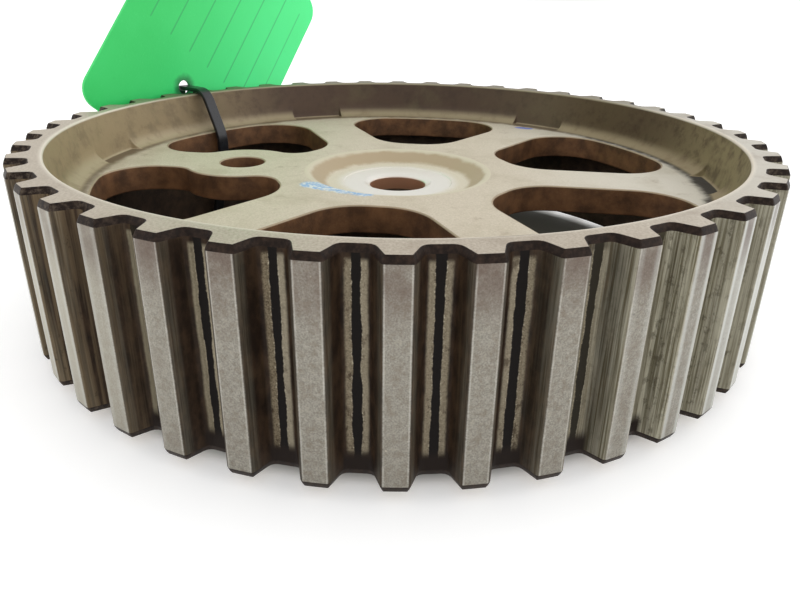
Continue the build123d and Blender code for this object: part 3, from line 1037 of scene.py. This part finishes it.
def end_chamfer():
    g = Shading("end_chamfer")
    scuff = g.noise(0.7, 5, 0.7)
    sides = g.add(g.ramp(g.x, -25, -55), g.ramp(g.x, 35, 60, 0.5))
    base = g.layers(
        g.mix(g.ramp(scuff, 0.35, 0.75), (26, 18, 14), (54, 41, 33)),
        (g.times(sides, g.ramp(scuff, 0.45, 0.7)), (92, 82, 70)),
        (g.ramp(scuff, 0.68, 0.76, 0.5), (140, 130, 116)))
    return g.finish(base, g.level(scuff, 0.4, 0.6), 0.1, g.noise(0.25, 3), 0.03, 0.12)


def rim_face_steel():
    """Ground face, lighter along its inner edge from wear and a painted highlight, and stained towards the
    back.
    """
    g = Shading("rim_face")
    grain = g.noise(0.35, 4, 0.65)
    cloud = g.noise(7, 4, 0.6, seed=3)
    back = g.ramp(g.y, 8, 42)
    base = g.layers(
        g.mix(g.ramp(grain, 0.3, 0.7), (164, 151, 133), (194, 184, 168)),
        (g.ramp(g.x, 24, 58, 0.6), (196, 194, 184)),
        (g.ramp(cloud, 0.45, 0.7, 0.5), (146, 130, 112)),
        (back, g.mix(cloud, (96, 88, 66), (132, 122, 98))),
        (g.spots(1.7, 0.03, 0.10, seed=2), (84, 62, 50)),
        (g.times(g.spots(1.3, 0.03, 0.12, seed=7), 0.6), (222, 216, 204)))
    # worn edge with painted highlight: the inner edge is lighter, most at the front
    rim = g.times(g.ramp(g.radius(), wall_top_radius + 0.9, wall_top_radius + 0.3), g.level(back, 0.6, 0.15))
    base = g.mix(rim, base, (216, 208, 192))
    relief = g.less(grain, g.spots(1.7, 0.03, 0.12, seed=2))
    return g.finish(base, g.level(grain, 0.40, 0.56), 0.55, relief, 0.03)


def painted(g, base):
    """A finish with the two old marks of blue paint over it."""
    smear = g.noise(1.3, 4, 0.65, seed=21)
    dab = g.add(g.from_line((-15.4, -11.4), (-5.6, -16.6)), g.shift(smear, 2.6))
    taper = g.ramp(g.x, -4.0, -16.0, 0.7)
    dab = g.less(dab, taper)
    blue = g.mix(g.ramp(g.noise(0.7, 3, 0.6, seed=22), 0.42, 0.62), (126, 172, 216), (214, 222, 222))
    base = g.mix(g.ramp(dab, 1.9, 0.9, 0.85), base, blue)
    dot = g.add(g.from_line((31.0, 43.9), (33.2, 42.9)), g.shift(smear, 1.6))
    return g.mix(g.ramp(dot, 1.4, 0.5, 0.95), base, (110, 126, 200))


def dish_steel():
    """Oxidised web and the wall round it, darker in the corners where the spokes meet the wall, with painted
    shade in those corners on the right.
    """
    g = Shading("dish")
    grain = g.noise(0.30, 4, 0.7)
    cloud = g.noise(9, 5, 0.6, seed=1)
    mottle = g.noise(3.2, 5, 0.68, seed=5)
    up, r = g.facing_up(), g.radius()
    back, left, right = g.ramp(g.y, -14, 24), g.ramp(g.x, -26, -60), g.ramp(g.x, 15, 48)
    web = g.layers(
        g.mix(g.ramp(grain, 0.3, 0.7), (186, 175, 153), (208, 197, 178)),
        (g.times(right, 0.65), (210, 206, 194)),
        (g.ramp(cloud, 0.45, 0.75, 0.5), (166, 154, 128)),
        (g.ramp(mottle, 0.58, 0.74, 0.45), (140, 122, 96)),
        (g.times(g.spots(1.9, 0.02, 0.09, seed=3), 0.7), (104, 82, 58)))
    scratch = g.noise(0.5, 3, 0.6, stretch=(0.12, 1.0, 1.0), seed=14)
    web = g.mix(g.ramp(scratch, 0.70, 0.76, 0.45), web, (124, 106, 82))
    # grime and painted shade: a darker ring where the web meets the wall's foot, darkest in the pocket corners
    # on the right
    corner = g.add(r, g.shift(mottle, 3.0))
    grime_and_painted_shade = g.mix(g.ramp(g.x, 36, 50), (104, 86, 62), (24, 16, 8))
    grimy_and_painted_shade = g.ramp(corner, 54.4, 56.6)
    web = g.mix(g.times(grimy_and_painted_shade, 0.92), web, grime_and_painted_shade)
    wall = g.layers(
        g.mix(back, (150, 134, 102), (76, 57, 42)),
        (g.times(left, 0.85), (152, 135, 101)),
        (g.times(right, g.level(back, 0.7, 0.25)), (126, 116, 82)),
        (g.times(g.ramp(mottle, 0.44, 0.68), g.level(left, 0.6, 0.3)), (62, 45, 33)),
        (g.ramp(cloud, 0.52, 0.70, 0.3), (104, 96, 66)))
    band = g.mix(left, (150, 136, 108), (170, 155, 127))
    band = g.mix(g.ramp(mottle, 0.46, 0.70, 0.5), band, (122, 104, 78))
    base = g.mix(g.ramp(up, 0.998, 0.93), web, band)
    base = g.mix(g.ramp(up, 0.86, 0.40), base, wall)
    # worn edge with painted highlight: the wall's top edge is light at the front and darker at the back
    worn_lip_and_painted_highlight = g.ramp(g.z, rim_top - 0.45, rim_top - 0.12)
    base = g.mix(worn_lip_and_painted_highlight, base, g.mix(g.ramp(g.y, 8, 42), (214, 205, 190), (148, 138, 114)))
    relief = g.add(grain, g.times(g.noise(0.9, 3, 0.6, seed=9), 0.8))
    rough = g.level(g.times(grimy_and_painted_shade, g.ramp(g.x, 36, 50)), g.level(grain, 0.50, 0.66), 1.0)
    return g.finish(painted(g, base), rough, 0.25, relief, 0.03)


def recess_steel():
    """Machined recess for the bolt head, brightest where the washer sat, with painted shade on its sloping
    wall.
    """
    g = Shading("recess")
    r = g.add(g.radius(), g.shift(g.noise(2.5, 4), 1.6))
    grain = g.noise(0.25, 3, 0.6)
    worn = g.ramp(r, 12.6, 9.4)
    base = g.layers(
        g.mix(g.ramp(grain, 0.3, 0.7), (196, 187, 164), (216, 208, 188)),
        # painted shade: the sloping wall of the recess is darker
        (g.ramp(r, 13.2, 14.6), (172, 155, 126)),
        (g.ramp(r, 16.2, 17.2), (200, 192, 168)),
        (worn, (222, 219, 210)),
        (g.ramp(g.z, seat_floor - 0.35, seat_floor - 0.9), (186, 138, 108)))
    return g.finish(painted(g, base), g.level(worn, 0.6, 0.3), g.level(worn, 0.2, 0.55), grain, 0.02)


def cut_wall_steel(name, dark, light):
    """Unmachined walls of the windows and the bore, with oil stains."""
    g = Shading(name)
    stain = g.noise(3.6, 4, 0.6)
    grain = g.noise(0.3, 3, 0.6)
    base = g.mix(g.ramp(stain, 0.3, 0.72), dark, light)
    base = g.mix(g.ramp(grain, 0.5, 0.8, 0.2), base, (140, 114, 86))
    edge = g.between(g.z, web_top - 0.20, web_top + 0.05, 0.08)
    base = g.mix(g.times(edge, 0.6), base, (190, 176, 148))
    return g.finish(base, 0.55, 0.25, g.add(grain, stain), 0.04)


def black_nylon():
    g = Shading("black_nylon", tie_frame())
    grain = g.noise(0.5, 3, 0.6)
    scuff = g.noise(1.6, 5, 0.7, seed=3)
    base = g.mix(g.ramp(scuff, 0.5, 0.75), (20, 20, 24), (42, 46, 54))
    return g.finish(base, g.level(grain, 0.22, 0.38), 0.0, g.add(grain, scuff), 0.02)


def green_card():
    """Bright card, lighter towards one side as painted light, with faint ruled lines, soft creases, grubby
    edges and painted shadow round the hole.
    """
    g = Shading("green_card", tag_place())
    fibre = g.noise(0.35, 4, 0.7, stretch=(1.0, 0.5, 1.0))
    cloud = g.noise(14, 3, 0.5, seed=2)
    left_edge, right_edge = tag_hole_off_middle - tag_width / 2, tag_hole_off_middle + tag_width / 2
    # painted light: the card is lighter from one side across to the other
    across = g.ramp(g.x, left_edge, right_edge)
    base = g.layers(
        g.mix(across, (40, 204, 96), (66, 238, 138)),
        (g.ramp(cloud, 0.3, 0.7, 0.35), (66, 224, 122)),
        (g.ramp(fibre, 0.55, 0.8, 0.25), (104, 244, 160)))
    row = g.math("ABSOLUTE", g.less(g.math("FRACT", g.times(g.x, 1 / 6.5)), 0.5))
    inside_x = g.between(g.x, left_edge + 5, right_edge - 5, 0.3)
    inside_y = g.between(g.y, 8.0, tag_length - tag_hole_from_end - 6.0, 0.3)
    ruled = g.times(g.ramp(row, 0.035, 0.015), g.times(inside_x, inside_y))
    base = g.mix(g.times(ruled, 0.5), base, (34, 138, 82))
    # painted shadow: the card is darker round the hole, where the strap passes
    hole = g.add(g.radius(), g.noise(1.2, 3))
    base = g.mix(g.ramp(hole, 4.2, 2.4, 0.7), base, (24, 84, 50))
    grime_and_painted_shade = g.times(g.ramp(g.noise(2.4, 5, 0.7, seed=6), 0.62, 0.8), 0.35)
    base = g.mix(grime_and_painted_shade, base, (50, 148, 86))
    return g.finish(base, g.level(fibre, 0.42, 0.58), 0.0, g.add(fibre, g.times(cloud, 6.0)), 0.03)


wheel = wheel_piece([
    tooth_steel(), end_chamfer(), rim_face_steel(), dish_steel(), recess_steel(),
    cut_wall_steel("window_wall", (76, 50, 30), (126, 88, 56)),
    # dirtier steel with painted shade: the rear surfaces under the wheel are much darker
    cut_wall_steel("rear", (46, 34, 26), (84, 66, 50)),
])
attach(wheel, "wheel")
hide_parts("pulley_wheel")
tie = tie_piece([black_nylon()])
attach(tie, "tie")
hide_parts("cable_tie")
tag = tag_piece([green_card()])
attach(tag, "tag")
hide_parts("card_tag")

# ---- camera, floor and light -------------------------------------------------------------------------
camera_place = (-0.00048, -0.12756, 0.05624)                    # metres
camera_turn, camera_elevation, camera_roll = -0.5, 23.19, 0.942
camera_lens = 30.135                                            # for a sensor 36 mm wide
camera_shift = (0.0008, -0.0353)
camera_data = bpy.data.cameras.new("camera")
camera_data.lens, camera_data.sensor_width = camera_lens, 36.0
camera_data.shift_x, camera_data.shift_y = camera_shift
camera_data.clip_start = 0.01
camera = bpy.data.objects.new("camera", camera_data)
camera.matrix_world = (
    Matrix.Translation(camera_place)
    @ Matrix.Rotation(math.radians(camera_turn), 4, "Z")
    @ Matrix.Rotation(math.radians(90 - camera_elevation), 4, "X")
    @ Matrix.Rotation(math.radians(camera_roll), 4, "Z")
)
bpy.context.scene.collection.objects.link(camera)
bpy.context.scene.camera = camera

bpy.context.scene.view_settings.view_transform = "Standard"
sky_power = 2.0
sky_stops = ((0.05, 0.62), (0.25, 0.54), (0.42, 0.48), (0.62, 0.48), (0.78, 0.66), (0.95, 0.90))
world = bpy.data.worlds.new("studio")
bpy.context.scene.world = world
sky = Graph(world)
background = sky.tree.nodes["Background"]
background.inputs["Color"].default_value = (1, 1, 1, 1)
sideways = sky.split(sky.node("TexCoord", out="Generated"))[0]
light = sky.node("ValToRGB", [sky.math("MULTIPLY_ADD", sideways, 0.5, 0.5)])
stops = light.node.color_ramp.elements
stops[0].position, stops[1].position = sky_stops[0][0], sky_stops[-1][0]
for position, _ in sky_stops[1:-1]:
    stops.new(position)
for stop, (_, amount) in zip(stops, sky_stops):         # from the object's left to its right
    stop.color = (amount, amount, amount, 1)
sky.put(background.inputs["Strength"], sky.math("MULTIPLY", light, sky_power))

floor_data = bpy.data.meshes.new("floor")
floor_data.from_pydata([(-3, -3, 0), (3, -3, 0), (3, 3, 0), (-3, 3, 0)], [], [(0, 1, 2, 3)])
floor = bpy.data.objects.new("floor", floor_data)
# painted light: the floor glows outside the wheel
painted_floor_glow = 0.24
g = Shading("floor_white_painted_shadow")      # a pale floor that glows outside the wheel, with painted shadow under the wheel, seen through the windows
# painted shadow: the floor under the wheel is dark
outside_painted_shadow = g.ramp(g.radius(), tip_radius - 7, tip_radius - 2.5)
g.shader.inputs["Emission Color"].default_value = (1, 1, 1, 1)
g.put(g.shader.inputs["Emission Strength"], g.times(outside_painted_shadow, painted_floor_glow))
floor_data.materials.append(g.finish(g.mix(outside_painted_shadow, (92, 88, 80), (250, 250, 250)), 0.6))
bpy.context.scene.collection.objects.link(floor)
